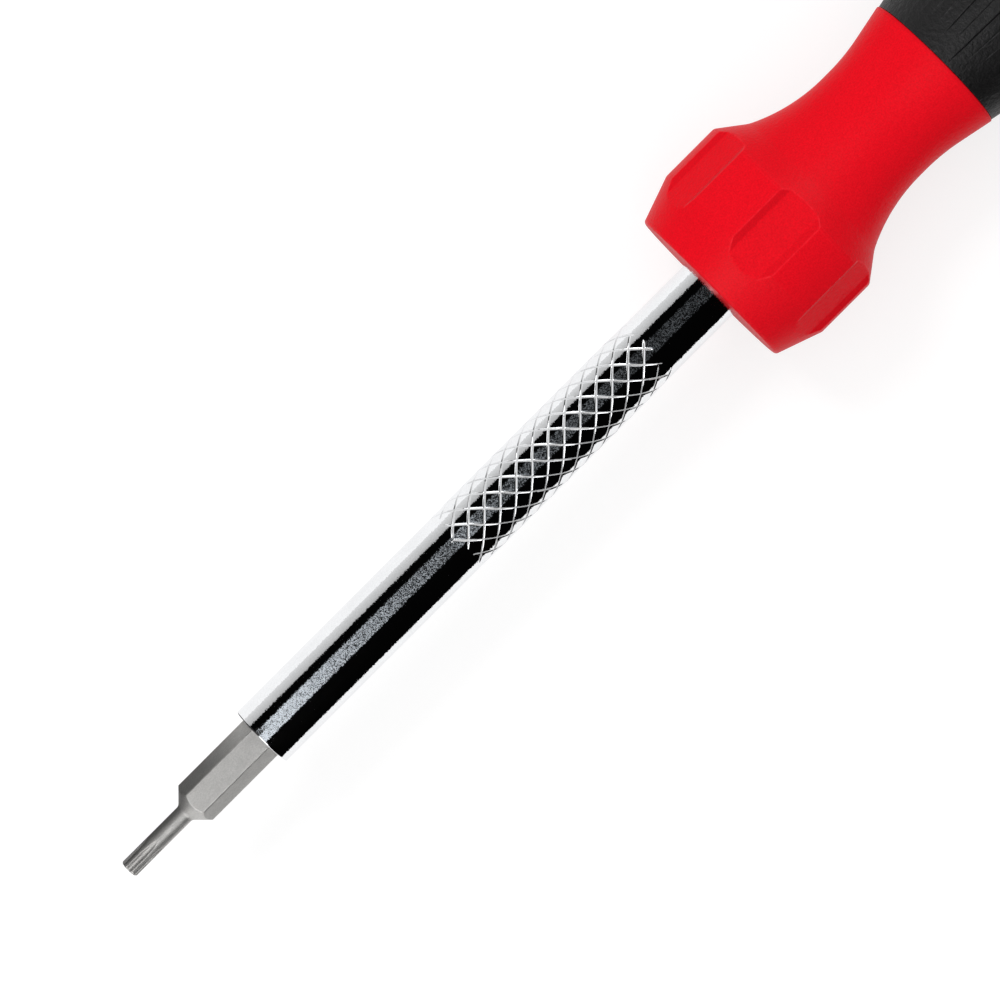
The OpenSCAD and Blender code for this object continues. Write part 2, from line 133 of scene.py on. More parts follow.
GRIP_RADIUS = 9.925
GRIP_GROOVES = 45
GRIP_GROOVE_DEPTH = 0.18
GRIP_FRONT_EDGE = 0.1
GRIP_REAR_EDGE = 0.15
SWELL = 60.0
RIM_FRONT = 85.2414
RIM_RADIUS = 9.62909
RIM_EDGE = 0.25
MOUTH = 88.7414
MOUTH_EDGE = 0.3
CAVITY_FRONT = 49.0414
CAVITY_RADIUS = 8.12909
RING_FRONT = 86.2414
RING_SEAT_RADIUS = 8.52909
PRESS_GAP = 0.02

CAP_FRONT = 89.1414
CAP_REAR = 98.3414
CAP_RADIUS = 9.4
CAP_ROUND = 4.0
CAP_EDGE = 0.25
SKIRT_RADIUS = 8.52909
SKIRT_EDGE = 0.1
WEB_FRONT = 90.4214
WEB_REAR = 93.4214
POST_BORE_RADIUS = 3.06
SCALLOPS = 12
SCALLOP_RADIUS = 2.2
SCALLOP_DEPTH = 0.3
SCALLOP_ROUND = 0.06
COVER_RADIUS = 6.0
COVER_FRONT = 96.7914
COVER_REAR = 97.9914
COVER_LEDGE = 0.6
COVER_FRONT_EDGE = 0.1
COVER_REAR_EDGE = 0.2

# A corner with a larger half angle is straight. The points of a rounding are about ROUNDING_STEP degrees
# apart, and one more point beyond each end keeps its shading off the straight stretches.
STRAIGHT = math.radians(89.5)
ROUNDING_STEP = 10
KEPT_STRAIGHT = 0.04

# Edges count as worn, with a painted highlight, from the first of these bends and fully from the second, in
# 1/mm.
WEAR_AND_HIGHLIGHT_FROM = 1.5
WEAR_AND_HIGHLIGHT_FULL = 4.5

# Keeps a divisor off zero.
LEAST_SINE = 1e-3


def place(along, radius, turn, beside=(0.0, 0.0)):
    """Points of the frame, in metres: along mm behind the collar's face and radius mm off an axis,
    turned in radians from straight up towards +Y. beside is the axis's place off the tool's, in mm."""
    along, radius, turn = np.broadcast_arrays(along, radius, turn)
    x = FACE_X + along * MM
    y = (beside[0] + radius * np.sin(turn)) * MM
    z = AXIS_HEIGHT + (beside[1] + radius * np.cos(turn)) * MM
    return np.stack([x, y, z], axis=-1)


def rounded_corner(before, corner, after):
    """Points of a corner's rounding, or the corner itself where it has none or is straight."""
    here = np.array(corner[:2], float)
    back = np.array(before[:2], float) - here
    ahead = np.array(after[:2], float) - here
    back /= np.linalg.norm(back)
    ahead /= np.linalg.norm(ahead)
    half = math.acos(max(-1.0, min(1.0, back @ ahead))) / 2
    if corner[2] == 0 or half > STRAIGHT:
        return [here]
    reach = corner[2] / math.tan(half)
    middle = here + (back + ahead) / np.linalg.norm(back + ahead) * corner[2] / math.sin(half)
    start = here + back * reach - middle
    sweep = math.pi - 2 * half
    side = math.copysign(1.0, ahead[0] * back[1] - ahead[1] * back[0])
    points = [here + back * (reach + KEPT_STRAIGHT)]
    for share in np.linspace(0, 1, max(4, round(math.degrees(sweep) / ROUNDING_STEP))):
        c = math.cos(side * sweep * share)
        s = math.sin(side * sweep * share)
        points.append(middle + np.array([c * start[0] - s * start[1], s * start[0] + c * start[1]]))
    points.append(here + ahead * (reach + KEPT_STRAIGHT))
    return points


def outline(corners, step):
    """Chain of points (along, radius) through corners (along, radius, rounding), step mm apart at most."""
    chain = [np.array(corners[0][:2], float)]
    for before, corner, after in zip(corners, corners[1:], corners[2:]):
        chain += rounded_corner(before, corner, after)
    chain.append(np.array(corners[-1][:2], float))
    points = [chain[0]]
    for first, last in zip(chain, chain[1:]):
        count = max(1, math.ceil(np.linalg.norm(last - first) / step))
        points += [first + (last - first) * k / count for k in range(1, count + 1)]
    return np.array(points)


def arc(middle, radius, start, end, count):
    """Corners without rounding along an arc, with angles in radians from the tool's rear outwards."""
    angles = np.linspace(start, end, count)
    return [(middle[0] + radius * math.cos(a), middle[1] + radius * math.sin(a), 0) for a in angles]


def strip(lower, upper):
    """Quads between two rows of point numbers that both go once round."""
    return np.stack([lower, upper, np.roll(upper, -1), np.roll(lower, -1)], axis=-1).tolist()


def strips(number):
    """Quads between all neighbours among rows of point numbers."""
    faces = []
    for lower, upper in zip(number, number[1:]):
        faces += strip(lower, upper)
    return faces


def fill_ends(verts, faces, first, last):
    """Fills the first and last row of a skin with triangles round a new point in the middle of each."""
    for row, other in ((first, np.roll(first, -1)), (np.roll(last, -1), last)):
        hub = len(verts)
        verts.append(np.mean([verts[k] for k in row], axis=0).tolist())
        faces += [[int(a), int(b), hub] for a, b in zip(row, other)]


def skin(name, points, loop=False):
    """Closed mesh over rows of points that go round an axis. Its first and last rows are joined to
    one another in a loop, or each is filled with triangles."""
    rows, columns = points.shape[:2]
    number = np.arange(rows * columns).reshape(rows, columns)
    verts = points.reshape(-1, 3).tolist()
    faces = strips(number)
    if loop:
        faces += strip(number[-1], number[0])
    else:
        fill_ends(verts, faces, number[0], number[-1])
    return mesh_of(name, verts, faces)


def mesh_of(name, verts, faces):
    """Smooth mesh from points and faces."""
    mesh = bpy.data.meshes.new(name)
    mesh.from_pydata(verts, [], faces)
    mesh.validate()
    mesh.shade_smooth()
    return mesh


def mark(mesh, name, values):
    """Stores a number for each point of a mesh, for its material to read."""
    mesh.attributes.new(name, "FLOAT", "POINT").data.foreach_set("value", np.asarray(values, np.float32))


def vectors_of(points, what):
    """The places or the normals of a mesh's points."""
    values = np.empty(3 * len(points))
    points.foreach_get(what, values)
    return values.reshape(-1, 3)


def mark_edges(mesh, kept_from=math.inf, kept_to=math.inf):
    """Marks the points of a mesh that lie on its outward edges, which are worn and get a painted highlight.
    The stations between kept_from and kept_to are out of a hand's reach and keep their edges."""
    least_square = 1e-4
    points = vectors_of(mesh.vertices, "co") / MM
    normals = vectors_of(mesh.vertices, "normal")
    ends = np.empty(2 * len(mesh.edges), np.int32)
    mesh.edges.foreach_get("vertices", ends)
    ends = ends.reshape(-1, 2).T
    bend = np.zeros(len(points))
    for start, end in (ends, ends[::-1]):
        step = points[end] - points[start]
        square = np.maximum((step ** 2).sum(axis=1), least_square)
        np.maximum.at(bend, start, -2 * (normals[start] * step).sum(axis=1) / square)
    station = points[:, 0] - FACE_X / MM
    bend[(station > kept_from) & (station < kept_to)] = 0
    # Outward edges are marked as worn and for a painted highlight.
    mark(mesh, "wear_and_highlight", smooth_step(WEAR_AND_HIGHLIGHT_FROM, WEAR_AND_HIGHLIGHT_FULL, bend))


def piece(mesh, finishes, body, node_name):
    """Object for a mesh, with its materials, that moves with a body and stands for a CAD node."""
    made = bpy.data.objects.new(mesh.name, mesh)
    bpy.context.scene.collection.objects.link(made)
    for finish in finishes:
        mesh.materials.append(finish)
    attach(made, body)
    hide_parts(node_name)


def smooth_step(low, high, value):
    """0 below low, 1 above high, and a smooth rise in between."""
    share = np.clip((value - low) / (high - low), 0, 1)
    return share * share * (3 - 2 * share)


def rounded_positive(value, rounding):
    """The value where it is positive and 0 elsewhere, with the corner rounded."""
    near = (value + rounding) ** 2 / (4 * rounding)
    return np.where(value > rounding, value, np.where(value < -rounding, 0, near))


def rounded_least(a, b, rounding):
    """The smaller of two values, with the corner between them rounded."""
    return a - rounded_positive(a - b, rounding)


def around(count):
    """Equal turns once round."""
    return np.arange(count) * 2 * math.pi / count


def off_middle(turn, count):
    """How far each turn is off the middle of its sector, of count equal ones. One has its middle at 0."""
    share = 2 * math.pi / count
    return (turn + share / 2) % share - share / 2


# Materials

# Noise lies mostly between these two.
NOISE_LOW = 0.3
NOISE_HIGH = 0.7

# Each rubbed colour below lightens worn outward edges and also serves as a painted highlight there.
RED_DARK = (0.8, 0.0003, 0.0085)
RED_LIGHT = (0.84, 0.0006, 0.01)
RED_RUBBED_HIGHLIGHT = (0.9, 0.016, 0.03)
BLACK_DARK = (0.005, 0.0047, 0.005)
BLACK_LIGHT = (0.008, 0.0076, 0.008)
BLACK_RUBBED_HIGHLIGHT = (0.022, 0.021, 0.022)
GREY_DARK = (0.024, 0.024, 0.026)
GREY_LIGHT = (0.034, 0.034, 0.036)
GREY_RUBBED_HIGHLIGHT = (0.07, 0.07, 0.073)
NYLON_DARK = (0.76, 0.76, 0.72)
NYLON_LIGHT = (0.82, 0.82, 0.78)
NYLON_RUBBED_HIGHLIGHT = (0.84, 0.84, 0.81)
STEEL_PITS = (0.415, 0.41, 0.4)
STEEL_DARK = (0.52, 0.512, 0.5)
STEEL_LIGHT = (0.59, 0.582, 0.566)
STEEL_RUBBED_HIGHLIGHT = (0.76, 0.75, 0.73)
NICKEL_DARK = (0.5, 0.49, 0.47)
NICKEL_LIGHT = (0.58, 0.57, 0.55)
ZINC_DARK = (0.54, 0.55, 0.56)
ZINC_LIGHT = (0.64, 0.64, 0.65)
CHROME_TINT = np.array([0.985, 0.995, 1.01])


def node(tree, kind, inputs=None, **settings):
    """New shader node with plain values, or links from other nodes, on its sockets."""
    made = tree.nodes.new(kind)
    for name, value in settings.items():
        setattr(made, name, value)
    for socket, value in (inputs or {}).items():
        if isinstance(value, bpy.types.NodeSocket):
            tree.links.new(value, made.inputs[socket])
        else:
            made.inputs[socket].default_value = value
    return made


def new_finish(name, values):
    """Principled material with plain values on the shader's own sockets, with its tree and its shader."""
    made = bpy.data.materials.new(name)
    made.use_nodes = True
    shader = made.node_tree.nodes["Principled BSDF"]
    for socket, value in values.items():
        shader.inputs[socket].default_value = value
    return made, made.node_tree, shader


def millimetres(tree, stretch=(1, 1, 1)):
    """Object coordinates in millimetres. A stretch below 1 makes patterns longer along its axis."""
    place_of = node(tree, "ShaderNodeTexCoord")
    scale = [s / MM for s in stretch]
    inputs = {"Scale": scale, "Vector": place_of.outputs["Object"]}
    return node(tree, "ShaderNodeMapping", inputs).outputs["Vector"]


def noise(tree, vector, size, detail=2.0):
    """Cloudy pattern with blobs of about size mm."""
    inputs = {"Scale": 1 / size, "Detail": detail, "Vector": vector}
    return node(tree, "ShaderNodeTexNoise", inputs).outputs["Fac"]


def spread(tree, value, low, high, start=0.0, end=1.0):
    """Value that goes from low to high while another one goes from start to end."""
    inputs = {"From Min": start, "From Max": end, "To Min": low, "To Max": high, "Value": value}
    return node(tree, "ShaderNodeMapRange", inputs).outputs["Result"]


def between(tree, pattern, low, high):
    """The pattern's middle range spread from low to high."""
    return spread(tree, pattern, low, high, NOISE_LOW, NOISE_HIGH)


def tinted(tree, pattern, dark, light):
    """Colour that goes from dark to light with the pattern."""
    ramp = node(tree, "ShaderNodeValToRGB", {"Fac": pattern})
    stops = zip(ramp.color_ramp.elements, (NOISE_LOW, NOISE_HIGH), (dark, light))
    for stop, position, colour in stops:
        stop.position = position
        stop.color = (*colour, 1)
    return ramp.outputs["Color"]


def bumped(tree, height, depth, normal=None):
    """Normal of a surface whose height varies by depth mm with the pattern."""
    inputs = {"Strength": 1.0, "Distance": depth * MM, "Height": height}
    if normal is not None:
        inputs["Normal"] = normal
    return node(tree, "ShaderNodeBump", inputs).outputs["Normal"]


def mixed(tree, share, colour, other):
    """Colour that turns into another one by a share. The node's colour sockets go by their numbers."""
    inputs = {0: share, 6: colour, 7: (*other, 1)}
    return node(tree, "ShaderNodeMix", inputs, data_type="RGBA").outputs[2]


def product(tree, first, second):
    """Product of two values."""
    return node(tree, "ShaderNodeMath", {0: first, 1: second}, operation="MULTIPLY").outputs[0]


def vector_step(tree, operation, first, second):
    """Sum, difference or product of two vectors."""
    return node(tree, "ShaderNodeVectorMath", {0: first, 1: second}, operation=operation).outputs[0]


def marked(tree, name):
    """Number stored for each point of the mesh."""
    return node(tree, "ShaderNodeAttribute", attribute_name=name).outputs["Fac"]


def worn_and_highlit_edge(tree, where):
    """Patchy mask of worn outward edges that also carry a painted highlight."""
    patch = 0.5
    least = 0.15
    patches = between(tree, noise(tree, where, patch, detail=4), least, 1.0)
    return product(tree, marked(tree, "wear_and_highlight"), patches)


def plastic(name, dark, light, rubbed_highlight, gloss, roughness, grain, depth, pitted=0.82):
    """Moulded plastic with a fine eroded grain, worn edges with a painted highlight and painted shade where
    the mesh marks it: its colours and that of its worn, highlit edges, its gloss and roughness, the size and
    depth of its grain in mm, and how dark its pits are."""
    cloud = 6.0
    coarse_size = 2.6 * grain
    coarse_depth = 1.6 * depth
    pit_share = 0.6
    rubbed_highlight_share = 0.7
    rubbed_roughness = -0.15
    # Share of the dark colour that painted shade goes down to.
    painted_shade_level = 0.3
    rough_range = 0.08
    made, tree, shader = new_finish(name, {"IOR": 1.5, "Specular IOR Level": gloss})
    where = millimetres(tree)
    fine = noise(tree, where, grain, detail=3)
    coarse = noise(tree, where, coarse_size)
    wear_and_highlight = worn_and_highlit_edge(tree, where)
    colour = tinted(tree, noise(tree, where, cloud), dark, light)
    pits = between(tree, fine, pit_share, 0.0)
    colour = mixed(tree, pits, colour, [pitted * c for c in dark])
    # Worn edges turn to the lighter edge colour, which is also a painted highlight.
    colour = mixed(tree, product(tree, wear_and_highlight, rubbed_highlight_share), colour, rubbed_highlight)
    # Painted shade darkens the points that the mesh marks, such as pocket walls, the seam and grooves.
    colour = mixed(tree, marked(tree, "painted_shade"), colour, [painted_shade_level * c for c in dark])
    tree.links.new(colour, shader.inputs["Base Color"])
    rough = between(tree, fine, roughness - rough_range, roughness + rough_range)
    inputs = {0: wear_and_highlight, 1: rubbed_roughness, 2: rough}
    worn_rough = node(tree, "ShaderNodeMath", inputs, operation="MULTIPLY_ADD")
    tree.links.new(worn_rough.outputs[0], shader.inputs["Roughness"])
    finer = bumped(tree, fine, depth)
    tree.links.new(bumped(tree, coarse, coarse_depth, normal=finer), shader.inputs["Normal"])
    return made


def faceted(tree, size, tilt):
    """Normal of the shaft as small flat facets, about size mm wide and tilted at random by up to tilt. They
    tilt less along the shaft, which was polished that way."""
    lengthwise = 0.2
    where = millimetres(tree)
    cells = node(tree, "ShaderNodeTexVoronoi", {"Scale": 1 / size, "Vector": where})
    flatten = (0.0, 1 / SHAFT_RADIUS, 1 / SHAFT_RADIUS)
    to_middle = vector_step(tree, "SUBTRACT", cells.outputs["Position"], where)
    flattened = vector_step(tree, "MULTIPLY", to_middle, flatten)
    either_way = vector_step(tree, "SUBTRACT", cells.outputs["Color"], (0.5, 0.5, 0.5))
    lean = vector_step(tree, "MULTIPLY", either_way, (lengthwise * 2 * tilt, 2 * tilt, 2 * tilt))
    surface = node(tree, "ShaderNodeNewGeometry").outputs["Normal"]
    leant = vector_step(tree, "ADD", vector_step(tree, "ADD", surface, flattened), lean)
    return node(tree, "ShaderNodeVectorMath", {0: leant}, operation="NORMALIZE").outputs[0]


def plating(name, level, tilt, smooth, rough, metallic=1.0):
    """Chrome plating over turning marks that run round the shaft: how much it reflects, how far its facets
    tilt and the range of its roughness."""
    mark_stretch = (1, 0.4, 0.4)
    mark_size = 0.16
    mark_depth = 0.002
    cloud = 2.5
    contrast = 0.02
    speck = 0.15
    speck_share = 0.25
    speck_level = 0.72
    facet = 0.08
    made, tree, shader = new_finish(name, {"Metallic": metallic})
    marks = noise(tree, millimetres(tree, mark_stretch), mark_size, detail=3)
    where = millimetres(tree)
    tint = CHROME_TINT * level
    colour = tinted(tree, noise(tree, where, cloud), tint - contrast, tint + contrast)
    specks = between(tree, noise(tree, where, speck), speck_share, 0.0)
    colour = mixed(tree, specks, colour, speck_level * tint)
    tree.links.new(colour, shader.inputs["Base Color"])
    tree.links.new(between(tree, marks, smooth, rough), shader.inputs["Roughness"])
    facets = faceted(tree, facet, tilt)
    tree.links.new(bumped(tree, marks, mark_depth, normal=facets), shader.inputs["Normal"])
    return made


def tool_steel(name, stretch, size, depth):
    """Matte grey tool steel whose grain is stretched along or round the bit, with worn edges that carry a
    painted highlight.
    """
    cloud = 1.5
    pit = 0.14
    pit_share = 0.7
    rubbed_highlight_share = 0.6
    smooth = 0.46
    rough = 0.6
    made, tree, shader = new_finish(name, {"Metallic": 1.0})
    grain = noise(tree, millimetres(tree, stretch), size, detail=3)
    where = millimetres(tree)
    colour = tinted(tree, noise(tree, where, cloud), STEEL_DARK, STEEL_LIGHT)
    pits = between(tree, noise(tree, where, pit), pit_share, 0.0)
    colour = mixed(tree, pits, colour, STEEL_PITS)
    # Worn edges turn lighter, which is also a painted highlight.
    colour = mixed(tree, product(tree, worn_and_highlit_edge(tree, where), rubbed_highlight_share), colour, STEEL_RUBBED_HIGHLIGHT)
    tree.links.new(colour, shader.inputs["Base Color"])
    tree.links.new(between(tree, grain, smooth, rough), shader.inputs["Roughness"])
    tree.links.new(bumped(tree, grain, depth), shader.inputs["Normal"])
    return made


def plated(name, dark, light, roughness):
    """Thinly plated metal with a cloudy surface."""
    blob = 0.6
    depth = 0.003
    rough_range = 0.06
    made, tree, shader = new_finish(name, {"Metallic": 1.0})
    cloud = noise(tree, millimetres(tree), blob, detail=4)
    tree.links.new(tinted(tree, cloud, dark, light), shader.inputs["Base Color"])
    rough = between(tree, cloud, roughness - rough_range, roughness + rough_range)
    tree.links.new(rough, shader.inputs["Roughness"])
    tree.links.new(bumped(tree, cloud, depth), shader.inputs["Normal"])
    return made


RED = plastic("red_plastic", RED_DARK, RED_LIGHT, RED_RUBBED_HIGHLIGHT,
              gloss=0.065, roughness=0.45, grain=0.16, depth=0.022, pitted=0.68)
BLACK_RUBBER = plastic("black_rubber", BLACK_DARK, BLACK_LIGHT, BLACK_RUBBED_HIGHLIGHT,
                       gloss=0.31, roughness=0.5, grain=0.2, depth=0.06, pitted=0.4)
DARK_PLASTIC = plastic("dark_plastic", GREY_DARK, GREY_LIGHT, GREY_RUBBED_HIGHLIGHT,
                       gloss=0.4, roughness=0.5, grain=0.2, depth=0.01)
WHITE_NYLON = plastic("washer_plastic", NYLON_DARK, NYLON_LIGHT, NYLON_RUBBED_HIGHLIGHT,
                      gloss=0.4, roughness=0.4, grain=0.5, depth=0.006)
CHROME = plating("chrome", level=0.86, tilt=math.radians(1), smooth=0.035, rough=0.07)
KNURL_CUT = plating("knurl_cut", level=0.68, tilt=math.radians(6), smooth=0.25, rough=0.4, metallic=0.25)
TURNED_STEEL = tool_steel("turned_steel", stretch=(1, 0.08, 0.08), size=0.16, depth=0.012)
DRAWN_STEEL = tool_steel("drawn_steel", stretch=(0.5, 1, 1), size=0.2, depth=0.006)
NICKEL = plated("magnet", NICKEL_DARK, NICKEL_LIGHT, roughness=0.3)
ZINC = plated("screw_steel", ZINC_DARK, ZINC_LIGHT, roughness=0.34)


# Driver bit and spare bits


def polygon_radius(turn, sides, flat_radius):
    """Distance from the middle of a regular polygon to its side, with one flat facing turn 0."""
    return flat_radius / np.cos(off_middle(turn, sides))


def six_lobe_tip(along, turn, radius):
    """Radius of a six-lobe tip whose flutes run out to points, with valleys facing turn 0."""
    valley = LOBE_VALLEY_SHARE * radius
    flute = valley / 2
    off = off_middle(turn, 6)
    lift = np.clip((along - FLUTE_LENGTH / 2) / (FLUTE_LENGTH / 2), 0, 1) * (radius - valley)
    middle = valley + flute + lift
    inside = flute ** 2 - (middle * np.sin(off)) ** 2
    near = middle * np.cos(off) - np.sqrt(np.maximum(inside, 0))
    return np.where(inside > 0, rounded_least(near, radius, LOBE_ROUND), radius)


def cross_tip(along, turn, radius):
    """Radius of a tapered cross tip with four wings that get thicker towards the stem."""
    end_radius = 0.45
    taper_length = 3
    half_end = 0.25
    thicker = 0.7 * math.tan(math.radians(14))
    cone = np.minimum(radius, end_radius + along * (radius - end_radius) / taper_length)
    wing = half_end + np.maximum(along, 0) * thicker
    flank = wing / np.maximum(np.sin(np.abs(off_middle(turn, 4))), LEAST_SINE)
    return np.minimum(cone, flank)


def slotted_tip(along, turn, radius):
    """Radius of a flat blade that gets thicker towards the stem."""
    half_end = 0.225
    straight = 0.45
    length = 6.55
    half = half_end + np.maximum(along - straight, 0) * (2 * radius - half_end) / length
    return np.minimum(radius, half / np.maximum(np.abs(np.cos(turn)), LEAST_SINE))


def key_tip(along, turn, radius, sides):
    """Radius of a key with a number of flat sides."""
    key = polygon_radius(turn, sides, (radius - KEY_INSET) * math.cos(math.pi / sides))
    return np.where(along < FLUTE_LENGTH, key, radius)


def hex_tip(along, turn, radius):
    """Radius of a hexagonal key."""
    return key_tip(along, turn, radius, 6)


def square_tip(along, turn, radius):
    """Radius of a square key."""
    return key_tip(along, turn, radius, 4)


def tri_wing_tip(along, turn, radius):
    """Radius of a tip with three flat wings."""
    half_wing = 0.35
    length = 2.5
    flank = half_wing / np.maximum(np.sin(np.abs(off_middle(turn, 3))), LEAST_SINE)
    return np.where(along < length, np.minimum(radius - KEY_INSET, flank), radius)


def bit_turns():
    """Turns round a hex bit, closer together at its edges."""
    side = np.array([-30, -29, -28, -26.5, -24, *range(-21, 24, 3), 24, 26.5, 28, 29])
    return np.radians(np.concatenate([side + k * 60 for k in range(6)]))


def bit_mesh(name, tip, radius, station, beside, roll, fine):
    """Mesh of a bit: its tip's formula and stem radius, where its tip is, its axis and roll, and the step
    along its cone."""
    tail_length = 0.8
    row_gap = 0.1
    drawn_before = 0.4
    turn = bit_turns()
    flat = BIT_FLAT / 2
    edge = flat / math.cos(math.pi / 6)
    cone_start = STEM_LENGTH - STEM_ROUND
    cone_end = STEM_LENGTH + edge - radius
    tail_start = BIT_LENGTH - tail_length
    along = np.concatenate([
        np.linspace(0, BIT_CHAMFER, 4)[:-1],
        np.arange(BIT_CHAMFER, cone_start, 3 * fine),
        np.arange(cone_start, cone_end + STEM_ROUND, fine),
        np.linspace(cone_end + STEM_ROUND + row_gap, tail_start - row_gap, 24),
        np.linspace(tail_start, BIT_LENGTH, 9),
    ])[:, None]
    stem = np.minimum(tip(along, turn, radius), radius - BIT_CHAMFER + along)
    cone = radius + rounded_positive(along - STEM_LENGTH, STEM_ROUND)
    tail = edge - TAIL_CHAMFER + (BIT_LENGTH - along) / 2
    hexagon = rounded_least(polygon_radius(turn, 6, flat), edge - BIT_EDGE, BIT_EDGE)
    shank = rounded_least(rounded_least(hexagon, cone, BIT_EDGE), tail, TAIL_ROUND)
    size = np.where(along < cone_start, stem, shank)
    mesh = skin(name, place(station + along, size, turn + roll, beside))
    drawn_from = FACE_X + (station + cone_end - drawn_before) * MM
    for face in mesh.polygons:
        face.material_index = 1 if face.center.x > drawn_from else 0
    mark_edges(mesh)
    return mesh


def driver_bit():
    """Bit in the socket, turned at the front and drawn as a hexagon behind."""
    mesh = bit_mesh("bit_in_socket", six_lobe_tip, STEM_RADIUS, BIT_TIP, (0, 0), BIT_ROLL, fine=0.03)
    piece(mesh, [TURNED_STEEL, DRAWN_STEEL], "bit", "driver_bit")


def spare_bits():
    """The six bits in the cartridge, each with its own tip and stem, and a flat side facing outwards."""
    kinds = [("cross", cross_tip, 1.3), ("slotted", slotted_tip, 1.25), ("six_lobe", six_lobe_tip, 1.36)]
    kinds += [("hex", hex_tip, 1.3), ("square", square_tip, 1.35), ("tri_wing", tri_wing_tip, 1.35)]
    for number, (kind, tip, radius) in enumerate(kinds):
        turn = math.pi - number * 2 * math.pi / len(kinds)
        beside = (SPARE_RING * math.sin(turn), SPARE_RING * math.cos(turn))
        mesh = bit_mesh("stowed_" + kind, tip, radius, SPARE_TIPS, beside, turn, fine=0.09)
        piece(mesh, [TURNED_STEEL, DRAWN_STEEL], "cartridge", "spare_bit_" + kind)


# Shaft


def knurl_groove(family, along, lean):
    """Share of full depth of one family of knurl grooves, at a place counted in line spacings. The lines end
    unevenly and vary a little in depth."""
    end_change = 2.4
    depth_change = 1.7
    depth_wave = 0.9
    line = np.round(family)
    off = np.abs(family - line) * GROOVE_SPACING
    groove = np.cos(np.minimum(off / GROOVE_HALF_WIDTH, 1) * math.pi / 2) ** 2
    ragged = GROOVE_END * np.sin(line * end_change + lean)
    front = KNURL_FRONT + GROOVE_END + ragged
    rear = KNURL_REAR - GROOVE_END + ragged
    runs = smooth_step(front, front + GROOVE_END, along) * (1 - smooth_step(rear - GROOVE_END, rear, along))
    strength = 1 - GROOVE_UNEVEN + GROOVE_UNEVEN * np.sin(line * depth_change + along * depth_wave)
    return groove * runs * strength


def knurl_level(level):
    """Points of one level of the knurl's lattice and the depth of its grooves.
    The lattice follows the two families of grooves, and its steps are closer together near them."""
    rise_from = -0.1
    per_line = len(KNURL_STEPS)
    low = np.arange(KNURL_STARTS * per_line) - level // 2
    high = low + level
    family_a = high // per_line + KNURL_STEPS[high % per_line]
    family_b = low // per_line + KNURL_STEPS[low % per_line]
    turn = KNURL_TURN + (family_a + family_b) * math.pi / KNURL_STARTS
    along = KNURL_STATION + (family_a - family_b) / 2 * KNURL_PITCH
    depth = np.maximum(knurl_groove(family_a, along, 1), knurl_groove(family_b, along, -1))
    ends = np.minimum(along - KNURL_FRONT, KNURL_REAR - along)
    rise = KNURL_RISE * smooth_step(rise_from, KNURL_RISE_LENGTH, ends) - GROOVE_DEPTH * depth
    return turn, along, SHAFT_RADIUS + rise, depth


def zigzag(first, second):
    """One row that takes its items from two rows in turns."""
    return np.stack([first, second], axis=-1).ravel()


def socket_rows(turn):
    """Rows of points of the hex socket, from its bottom out to its widened mouth."""
    middle_depth = 2
    lead_from = 0.03
    hexagon = polygon_radius(turn - BIT_ROLL, 6, SOCKET_FLAT / 2)
    corner = SOCKET_FLAT / 2 / math.cos(math.pi / 6)
    lead = np.maximum(hexagon, corner + SOCKET_LEAD)
    depths = (SOCKET_DEPTH, middle_depth, SOCKET_LEAD + KEPT_STRAIGHT, SOCKET_LEAD)
    rows = [place(SHAFT_FRONT + depth, hexagon, turn) for depth in depths]
    return rows + [place(SHAFT_FRONT + lead_from, lead, turn)]


def lattice_faces(level):
    """Quads of the knurl's lattice, each with its corners on three levels."""
    faces = []
    for k in range(1, len(level) - 1):
        back, here, ahead = level[k - 1:k + 2]
        if k % 2:
            back = np.roll(back, -1)
            ahead = np.roll(ahead, -1)
        faces += np.stack([here, ahead, np.roll(here, -1), back], axis=-1).tolist()
    return faces


